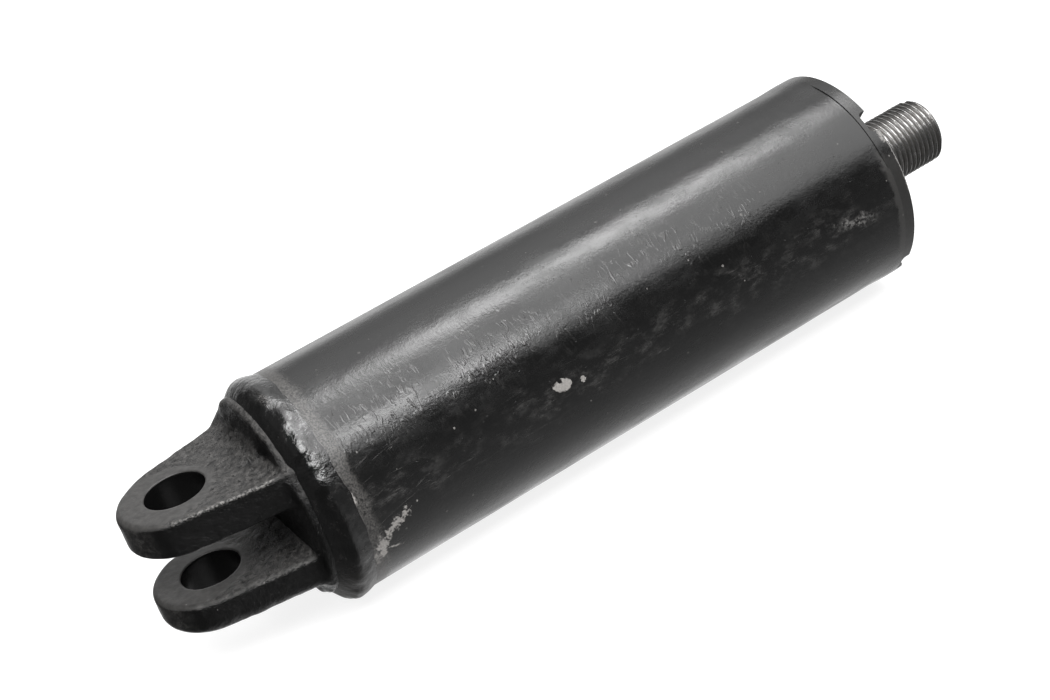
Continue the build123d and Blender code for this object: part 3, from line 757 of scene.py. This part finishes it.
def gland_paint():
    s = BarrelShader("gland_paint")
    grain = s.noise(0.5, 3.0, 0.65)
    ragged = s.centred(s.noise(1.3, 4.0, 0.68))
    patches = s.noise(4.0, 4.0, 0.65)
    radius = s.length(s.y, s.z)
    outer = s.step(radius, 37.0, 37.5)
    # bare along the front edge, and dull where it has been handled
    rim = s.step(s.add(s.x, s.times(ragged, 1.6)), GLAND_HIGH.x - 1.0, GLAND_HIGH.x - 0.4)
    rim = s.times(rim, s.band(s.arc, -27.5, -5.0, 3.0), s.step(radius, 37.0, 37.9))
    patch = s.step(s.chip(GLAND_CHIP, s.times(ragged, 1.6)), 1.0, 0.5)
    dull = s.times(s.band(s.arc, -17.0, 26.0, 4.0), outer)
    inner = s.times(s.step(radius, 34.6, 33.2), s.step(s.noise(2.5, 4.0), 0.40, 0.60))
    color = s.mix(s.step(patches, 0.40, 0.70), grey(0.004), grey(0.009, 0.04))
    color = s.mix(s.times(dull, 0.8), color, grey(0.016, 0.04))
    color = s.mix(s.times(inner, 0.5), color, grey(0.10, 0.05))
    color = s.mix(s.times(s.most(rim, patch), s.step(grain, 0.25, 0.6, 0.4, 1.0)), color,
                  grey(0.17, 0.04))
    color = s.mix(s.times(s.specks(3.4, 0.26, 0.25), 0.6), color, SPECK)
    rough = s.step(patches, 0.3, 0.7, 0.18, 0.32)
    rough = s.add(rough, s.swing(grain, 0.12))
    rough = s.blend(s.most(rim, patch, s.times(dull, 0.6)), rough, 0.46)
    height = s.add(s.swing(grain, 0.012), s.swing(s.noise(1.2, 3.0), 0.026),
                   s.swing(s.noise(6.0, 2.0), 0.05))
    return s.out(color, rough, normal=s.bump(height))


def thread_steel():
    """Plated shank, and a turned thread that is darkened in its grooves, with grime and painted
    shade.
    """
    s = Shader("thread_steel")
    radius = s.length(s.y, s.z)
    stains = s.noise(4.0, 5.0, 0.7)
    grain = s.noise(0.5, 3.0, 0.65)
    shank = s.step(radius, THREAD_R + 2.4, THREAD_R + 3.2)
    turned = s.math("SUBTRACT", 1.0, shank)
    # grime and painted shade: the thread's grooves darker by depth
    groove = s.step(s.add(radius, s.swing(stains, 0.5)), 11.65, 10.9)
    groove = s.times(groove, s.step(s.x, ROD_SHOULDER - 0.5, ROD_SHOULDER + 0.5))
    color = s.mix(s.step(stains, 0.35, 0.7), grey(0.46, 0.01), grey(0.27, 0.03))
    color = s.mix(s.times(groove, 0.75), color, grey(0.11, 0.04))
    color = s.mix(s.times(s.specks(2.2, 0.2, 0.3), 0.6), color, grey(0.10, 0.04))
    plated = s.mix(s.step(stains, 0.45, 0.75), grey(0.60), grey(0.50, 0.01))
    color = s.mix(shank, color, plated)
    rough = s.add(s.step(stains, 0.3, 0.7, 0.22, 0.36), s.times(groove, 0.2))
    rough = s.blend(shank, rough, s.step(stains, 0.3, 0.7, 0.11, 0.17))
    rings = s.noise(1.0, 2.0, 0.6, s.join(s.times(s.x, 5.0), s.times(radius, 5.0)))
    height = s.add(s.times(rings, 0.004), s.swing(grain, 0.02), s.swing(stains, 0.03))
    height = s.add(s.times(height, turned), s.times(rings, shank, 0.0008))
    return s.out(color, rough, 1.0, s.bump(height))


def turned_steel(name, level, roughness, groove, warm, grime):
    """Steel with fine turning marks round the X axis, and stains in its finish."""
    s = Shader(name)
    radius = s.length(s.y, s.z)
    rings = s.noise(1.0, 3.0, 0.6, s.join(s.times(s.x, 5.0), s.times(radius, 5.0)))
    stains = s.noise(5.0, 5.0, 0.65)
    spots = s.specks(2.8, 0.25, 0.3)
    dirty = s.times(s.step(stains, 0.45, 0.75), grime)
    color = s.mix(s.step(rings, 0.3, 0.7), grey(level * 0.86, warm), grey(level * 1.08, warm))
    color = s.mix(dirty, color, grey(level * 0.35, warm * 3))
    color = s.mix(s.times(spots, 0.5), color, grey(level * 0.25, warm * 4))
    rough = s.add(s.step(stains, 0.3, 0.7, roughness * 0.8, roughness * 1.3), s.times(dirty, 0.15))
    height = s.add(s.times(rings, groove), s.swing(stains, 0.01))
    return s.out(color, rough, 1.0, s.bump(height))


def moulded(name, color, dusty, roughness):
    """Rubber, plastic or resin with dust in its surface."""
    s = Shader(name)
    patches = s.noise(2.5, 5.0, 0.65)
    grain = s.noise(0.3, 2.0)
    tint = s.mix(s.step(patches, 0.4, 0.75), color, dusty)
    tint = s.mix(s.times(s.specks(1.2, 0.1, 0.3), 0.4), tint, dusty)
    rough = s.step(patches, 0.3, 0.7, roughness - 0.08, roughness + 0.12)
    height = s.add(s.times(grain, 0.012), s.times(patches, 0.02))
    return s.out(tint, rough, normal=s.bump(height))


BARREL_PAINT = black_paint()
FORGING_PAINT = forging_paint()
WELD_PAINT = weld_paint()
GLAND_PAINT = gland_paint()
THREAD_STEEL = thread_steel()
HONED_STEEL = turned_steel("honed_steel", 0.60, 0.12, groove=0.0006, warm=0.0, grime=0.10)
MACHINED_STEEL = turned_steel("machined_steel", 0.46, 0.28, groove=0.003, warm=0.01, grime=0.25)
SPRING_STEEL = turned_steel("spring_steel", 0.16, 0.42, groove=0.002, warm=0.02, grime=0.30)
RUBBER = moulded("rubber_seal", grey(0.010), grey(0.035, 0.03), 0.55)
PTFE = moulded("ptfe", grey(0.72, 0.02), grey(0.55, 0.06), 0.45)
GUIDE_RING = moulded("guide_ring", (0.17, 0.075, 0.03, 1), (0.26, 0.14, 0.07, 1), 0.55)
URETHANE = moulded("polyurethane", (0.045, 0.10, 0.22, 1), (0.10, 0.17, 0.28, 1), 0.38)

LOOKS = {
    "barrel_tube": BARREL_PAINT, "clevis_base": FORGING_PAINT, "base_weld_bead": WELD_PAINT,
    "port_boss": GLAND_PAINT, "port_weld_bead": WELD_PAINT, "gland_nut": GLAND_PAINT,
    "gland_o_ring": RUBBER, "gland_backup_ring": PTFE, "gland_wear_ring": GUIDE_RING,
    "gland_rod_seal": URETHANE, "gland_wiper": URETHANE, "sleeve_tube": HONED_STEEL,
    "sleeve_guide": MACHINED_STEEL, "sleeve_wear_ring": GUIDE_RING,
    "sleeve_stop_ring": SPRING_STEEL, "sleeve_gland": MACHINED_STEEL,
    "sleeve_gland_o_ring": RUBBER, "sleeve_gland_wear_ring": GUIDE_RING,
    "sleeve_rod_seal": URETHANE, "sleeve_wiper": URETHANE, "rod": THREAD_STEEL,
    "rod_guide": MACHINED_STEEL, "rod_wear_ring": GUIDE_RING, "rod_stop_ring": SPRING_STEEL,
    "rod_retaining_ring": SPRING_STEEL,
}
for name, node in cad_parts.items():
    node.data.materials.clear()
    node.data.materials.append(LOOKS[name])


# -------------------- barrel tube

def barrel_tube():
    columns = 384
    outline = along((TUBE_LOW.x, BEVEL_R), (WELD_TOE, BARREL_R),
                    ((WELD_TOE + 0.5, BARREL_R), (TUBE_HIGH.x - 0.5, BARREL_R), 1.6),
                    (TUBE_HIGH.x - 0.06, BARREL_R - 0.02), (TUBE_HIGH.x, BARREL_R - 0.12),
                    (TUBE_HIGH.x, GLAND_THREAD_R),
                    (GLAND_THREAD_START, GLAND_THREAD_R), (GLAND_THREAD_START, BORE_R),
                    ((GLAND_THREAD_START - 1, BORE_R), (TUBE_LOW.x, BORE_R), 12.0))
    turn = angles(columns)[None, :]
    x = outline[:, :1] + 0 * turn
    radius = outline[:, 1:] + 0 * turn
    outside = np.abs(radius - BARREL_R) < 0.01
    unevenness = 0.03
    radius = radius - outside * unevenness * (1 - ring_lumps(x, 30, turn, 26.0))
    # paint fills the joint with the gland's flange, but for a stretch on the upper front
    opens, opened, closes, closed = JOINT_OPEN
    open_joint = smoothstep(turn, opens, opened) * smoothstep(turn, closed, closes)
    filled = (1 - open_joint) * (radius > BARREL_R - 1)
    flush = filled * smoothstep(x, TUBE_HIGH.x - 9.0, TUBE_HIGH.x - 0.2)
    x = x + JOINT_FILL * filled * (x > TUBE_HIGH.x - 0.03)
    radius = radius + (GLAND_HIGH.z + 0.006 - radius) * flush
    points = about_x(x, radius, turn + 0 * x)
    faces = ring_faces(len(outline), columns, True)
    make_piece("visual_barrel_tube", points, faces, BARREL_PAINT, "barrel", ["barrel_tube"])


barrel_tube()


# -------------------- clevis base

def clevis_distance(x, y, z):
    """Distance field of the forged base, in millimetres."""
    cos, sin = math.cos(EAR_SLOPE), math.sin(EAR_SLOPE)
    across = np.abs(y)
    beside = across * cos - x * sin - EAR_TIP_R
    outline = np.where(x * cos + across * sin > 0, beside, np.sqrt(x * x + y * y) - EAR_TIP_R)
    top_round = 2.4 - 1.5 * smoothstep(x, -16.0, -2.0)
    block = meet(outline + 0 * z, np.abs(z) - EAR_Z, np.where(z > 0, top_round, EAR_ROUND))

    # gap between the ears
    gap = meet(0 * x + np.abs(z) - EAR_GAP, x - (GAP_ROOT + 1.0), 0.0)
    block = meet(block, -gap, GAP_ROUND)

    # round shoulder that the ears sweep into: a short sweep in front and longer ones elsewhere
    reach = np.sqrt(y * y + z * z) + 1e-6
    height = z / reach
    side = y / reach
    above = smoothstep(height, 0.66, 0.93) * np.where(side > 0, 1.0, smoothstep(-side, 0.55, 0.30))
    above = above * smoothstep(z, 11.0, 18.0)
    behind = smoothstep(side, 0.2, 0.9) * smoothstep(y, 9.0, 20.0)
    below = smoothstep(-height, 0.6, 0.95) * smoothstep(-z, 11.0, 18.0)
    sweep = SWEEP_FRONT + SWEEP_ABOVE * above + SWEEP_BEHIND * behind + SWEEP_BELOW * below
    crest = SHOULDER_R + SHOULDER_RISE * hump(np.arctan2(z, y), RISE_TURN, 0.6)
    crest = crest + 0.5 * lumps(0 * x + 0 * reach, side * 33, height * 33, 12.0, 4.4)
    past_ends = np.maximum(SHOULDER_X[0] - x, x - SHOULDER_X[1])
    shoulder = meet(reach - crest, past_ends, SHOULDER_ROUND)
    solid = blend(block, shoulder, sweep)

    # forging scale: rough away from the ground spot round the hole
    from_hole = np.sqrt(x * x + y * y)
    rough = smoothstep(from_hole + 0.3 * x, 13.5, 17.0)
    places = np.broadcast_arrays(x, y, z)
    relief = 0.16 * lumps(*places, 2.3) + 0.22 * lumps(*places, 5.7, 3.3)
    solid = solid + relief * (0.25 + 0.75 * rough) * smoothstep(TUBE_LOW.x - x, 0.0, 3.0)

    spigot = meet(reach - SPIGOT_R, np.maximum(SPIGOT_X - x, x - CLEVIS_HIGH.x), 1.5)
    solid = np.minimum(solid, spigot)
    return meet(solid, PIN_HOLE_R - from_hole + 0 * z, PIN_HOLE_ROUND)


def clevis_base():
    side, cell = 36.0, 0.5
    low = (CLEVIS_LOW.x - 1.0, -side, -side)
    high = (CLEVIS_HIGH.x + 1.0, side, side)
    points, faces = solid_surface(clevis_distance, low, high, cell)
    make_piece("visual_clevis_base", points, faces, FORGING_PAINT, "barrel", ["clevis_base"],
               sharp=60)


clevis_base()


# -------------------- welds

def weld_bead():
    """Bead round the barrel's end: one lumpy pass between base and tube."""
    rows, columns = 44, 900
    turn = angles(columns)[None, :]
    share = np.linspace(0, 1, rows)[:, None]
    # section from the valley over the crown to the tube
    knots = np.array([(28.4, 31.8), (28.8, 33.4), (29.9, 35.2), (31.3, 37.1), (32.9, 38.5),
                      (34.6, 39.2), (36.3, 39.2), (38.0, 38.7), (39.4, 38.2), (40.3, 37.95),
                      (40.9, 37.6)])
    lengths = np.concatenate([[0], np.cumsum(np.hypot(*np.diff(knots, axis=0).T))])
    x = np.interp(share * lengths[-1], lengths, knots[:, 0])
    radius = np.interp(share * lengths[-1], lengths, knots[:, 1])
    for _ in range(2):
        x[1:-1] = (x[:-2] + 2 * x[1:-1] + x[2:]) / 4
        radius[1:-1] = (radius[:-2] + 2 * radius[1:-1] + radius[2:]) / 4
    x = x + 0 * turn
    radius = radius + 0 * turn
    ring = 36
    middle = np.sin(math.pi * share) ** 0.8
    slow = ring_lumps(x * 0.4, ring, turn, 9.5)
    medium = ring_lumps(x, ring, turn, 4.2, 5.1)
    push = middle * (0.40 * slow + 0.42 * medium - 0.30)
    push = push + middle * 0.05 * ring_lumps(x, ring, turn, 1.5, 9.4)
    toe = 0.55 * ring_lumps(0 * x, ring, turn, 4.2, 2.7) * smoothstep(share, 0.6, 0.9)
    # fuller towards the base on the far side, where the shoulder stands higher
    fuller = hump(turn, RISE_TURN, 0.7) * smoothstep(share, 0.6, 0.15)
    radius = radius + 1.7 * fuller * smoothstep(share, 0.0, 0.12)
    points = about_x(x - 0.4 * push + toe, radius + push, turn + 0 * x)
    root_x, root_r = np.array([[38.0], [30.0]]), np.array([[34.6], [30.8]])
    inner = about_x(root_x + 0 * turn, root_r + 0 * turn, turn + 0 * root_x)
    points = np.concatenate([points, inner])
    faces = ring_faces(rows + 2, columns, True)
    make_piece("visual_base_weld_bead", points, faces, WELD_PAINT, "barrel", ["base_weld_bead"],
               sharp=60)


weld_bead()


# -------------------- port boss and its weld

def thread_depth(phase):
    """Depth of a 60 degree thread below its crest, from 0 to 1, by the share of its pitch."""
    ramp = np.abs((phase % 1.0) - 0.5) * 2
    flank = np.clip((0.90 - ramp) / 0.76, 0, 1)
    return smoothstep(ramp, 0.94, 0.16) * 0.3 + flank * 0.7


def about_port(height, radius, turn):
    """Points about the port's axis, at a distance of height from the barrel's axis."""
    return np.stack([PORT_X + radius * np.cos(turn), height + 0 * turn,
                     radius * np.sin(turn)], axis=-1)


def barrel_height(radius, turn):
    """Height of the barrel's surface under a point that is radius from the port's axis."""
    return np.sqrt(BARREL_R ** 2 - (radius * np.sin(turn)) ** 2)


def port_boss():
    columns = 160
    turn = angles(columns)[None, :]
    rows = []
    foot = barrel_height(BOSS_R, turn)
    for share in np.linspace(0, 1, 12)[:, None]:
        height = foot + (BOSS_TOP - 1.0 - foot) * share
        rows.append(about_port(height, BOSS_R + 0 * turn, turn))
    for drop, inset in ((0.62, 0.12), (0.32, 0.38), (0.08, 0.75), (0.0, 1.15)):
        rows.append(about_port(BOSS_TOP - drop + 0 * turn, BOSS_R - inset + 0 * turn, turn))
    for radius in (11.0, PORT_THREAD_R + 1.1):
        rows.append(about_port(BOSS_TOP + 0 * turn, radius + 0 * turn, turn))
    row_step = 0.11
    for height in np.arange(BOSS_TOP - 0.15, BOSS_TOP - 10.9, -row_step):
        below = BOSS_TOP - height
        crest = thread_depth(height / PORT_PITCH + turn / TURN) * PORT_DEPTH
        mouth = np.maximum(0, 1.0 - below)
        radius = PORT_THREAD_R + mouth - crest * smoothstep(below, 0.4, 1.4)
        rows.append(about_port(height + 0 * turn, radius, turn))
    for drop, radius in ((11.0, 7.0), (11.4, OIL_HOLE_R + 0.3), (12.0, OIL_HOLE_R)):
        rows.append(about_port(BOSS_TOP - drop + 0 * turn, radius + 0 * turn, turn))
    rows.append(about_port(barrel_height(OIL_HOLE_R, turn), OIL_HOLE_R + 0 * turn, turn))
    grid = np.concatenate(rows)
    points = grid.reshape(-1, 3)
    faces = ring_faces(len(grid), columns, True)
    make_piece("visual_port_boss", points, faces, GLAND_PAINT, "barrel", ["port_boss"])


def port_weld():
    """Fillet weld round the boss, laid in short ripples, from its top to its toe."""
    rows, columns = 18, 420
    turn = angles(columns)[None, :]
    share = np.linspace(0, 1, rows)[:, None]
    spread = PORT_WELD_HIGH.x - PORT_WELD_LOW.x
    reach = spread / 2 - BOSS_R - 0.5
    toe_radius = BOSS_R + reach + 0.5 * lumps(8 * np.cos(turn), 8 * np.sin(turn), 0 * turn, 3.0)
    toe_radius = np.minimum(toe_radius, spread / 2)
    rise = 3.0
    top = np.minimum(barrel_height(0.9 * BOSS_R, turn) + rise, PORT_WELD_HIGH.y)
    toe = barrel_height(toe_radius, turn) - 0.1
    radius = BOSS_R - 0.1 + (toe_radius - BOSS_R) * share
    height = top + (toe - top) * share
    bulge = 0.55 * np.sin(math.pi * share)
    travel = turn * BOSS_R + 2.0 * (share - 0.5) ** 2
    ripple_length = 2.4
    ripple = np.abs(np.sin(travel * math.pi / ripple_length)) ** 0.8
    push = bulge + 0.16 * (ripple - 0.6) * np.sin(math.pi * share)
    push = push + 0.22 * lumps(radius * np.cos(turn), height, radius * np.sin(turn), 2.6) * bulge
    floor = barrel_height(np.minimum(radius + push, toe_radius), turn) - 0.1
    outer = about_port(np.maximum(height + push, floor), radius + push, turn)
    under = about_port(barrel_height(BOSS_R, turn) - 0.3, BOSS_R - 0.1 + 0 * turn, turn)
    grid = np.concatenate([outer, under])
    faces = ring_faces(rows + 1, columns, True)
    make_piece("visual_port_weld_bead", grid.reshape(-1, 3), faces, WELD_PAINT, "barrel",
               ["port_weld_bead"], sharp=60)


port_boss()
port_weld()


# -------------------- rod with its thread

def rod():
    columns = 144
    turn = angles(columns)[None, :]
    end, start = ROD_HIGH.x, ROD_LOW.x
    tenon_r, seat_r, groove_r = 12.0, 10.5, 14.5
    body = along((start, 0.02), (start, tenon_r - 0.4), (start + 0.4, tenon_r),
                 (SNAP_LOW.x, tenon_r), (SNAP_LOW.x, seat_r), (SNAP_HIGH.x, seat_r),
                 (SNAP_HIGH.x, tenon_r), (ROD_GUIDE_HIGH.x, tenon_r), (STOP_LOW.x, groove_r),
                 (STOP_HIGH.x, groove_r), (STOP_HIGH.x, ROD_R),
                 ((STOP_HIGH.x + 1, ROD_R), (ROD_SHOULDER - 0.9, ROD_R), 8.0),
                 (ROD_SHOULDER - 0.7, ROD_R - 0.05), (ROD_SHOULDER, ROD_R - 0.75),
                 (ROD_SHOULDER, THREAD_R - 1.2))
    row_step = 0.111
    thread_x = np.arange(ROD_SHOULDER + 0.1, end - 0.02, row_step)
    face = np.array([(end, THREAD_R - 1.6), (end, THREAD_R - 4.5), (end - 0.05, 0.02)])
    x = np.concatenate([body[:, 0], thread_x, face[:, 0]])[:, None]
    radius = np.concatenate([body[:, 1], THREAD_R + 0 * thread_x, face[:, 1]])[:, None]
    threaded = np.zeros_like(x)
    threaded[len(body):len(body) + len(thread_x)] = 1
    cut = thread_depth(x / THREAD_PITCH - turn / TURN + 0.31) * THREAD_DEPTH * threaded
    cut = cut * smoothstep(x, ROD_SHOULDER + 0.2, ROD_SHOULDER + 2.4)
    chamfer = np.maximum(0, 1.5 - (end - x))
    chamfered = np.where(threaded > 0, THREAD_R - chamfer, np.inf)
    radius = np.minimum(radius - cut, chamfered)
    wear = ring_lumps(x, 12, turn, 2.2)
    radius = radius - threaded * 0.05 * np.maximum(wear, 0)
    # nick in the last crests
    nick = np.exp(-((x - (end - 1.9)) / 0.9) ** 2 - ((turn - 1.22) / 0.10) ** 2)
    radius = radius - threaded * nick
    points = about_x(x + 0 * turn, radius, turn + 0 * x)
    faces = ring_faces(len(x), columns, False)
    caps = np.array([list(range(columns))[::-1],
                     [(len(x) - 1) * columns + n for n in range(columns)]])
    faces = faces.tolist() + caps.tolist()
    make_piece("visual_rod", points, faces, THREAD_STEEL, "rod", ["rod"], sharp=42)


rod()


# -------------------- rounded edges on the turned parts

def round_edges(name, width):
    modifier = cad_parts[name].modifiers.new("rounded", "BEVEL")
    modifier.width = width * MM
    modifier.segments = 2
    modifier.limit_method = "ANGLE"
    modifier.angle_limit = math.radians(40)
    modifier.harden_normals = True


round_edges("gland_nut", 0.14)
for turned in ("sleeve_tube", "sleeve_gland", "sleeve_guide", "rod_guide", "rod_stop_ring",
               "sleeve_stop_ring"):
    round_edges(turned, 0.15)
